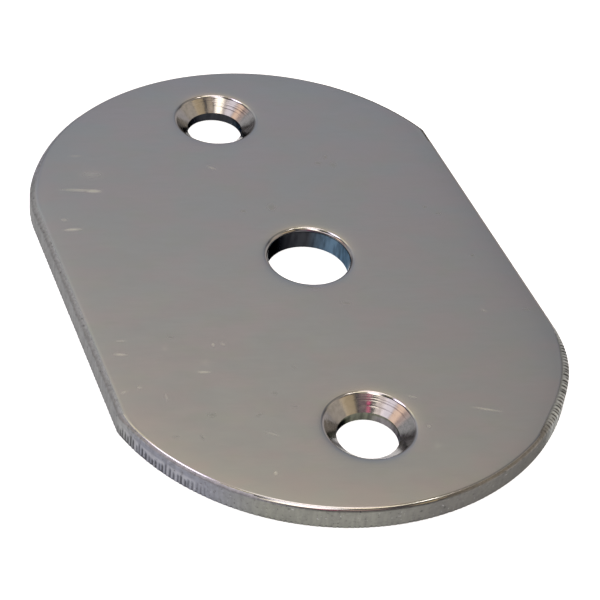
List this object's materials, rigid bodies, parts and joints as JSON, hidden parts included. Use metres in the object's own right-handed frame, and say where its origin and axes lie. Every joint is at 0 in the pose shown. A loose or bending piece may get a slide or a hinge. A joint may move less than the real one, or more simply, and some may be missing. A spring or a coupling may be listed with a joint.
{
  "type": "backing plate",
  "caption": "Flat stainless backing plate with straight sides and rounded ends, countersunk screw holes and a plain hole set off to one side.",
  "frame": {"origin": "centre of the underside, midway between the straight sides and midway between the rounded ends", "axes": "+Y along the length, +X across the width towards the plain hole, +Z through the thickness, out of the countersunk top face"},
  "size_m": [0.04, 0.06, 0.0022],
  "materials": {
    "stainless": "satin polished faces and rounded top rim, plain sheared edge"
  },
  "bodies": {
    "root": {"backing_plate": "stainless"}
  },
  "joints": []
}
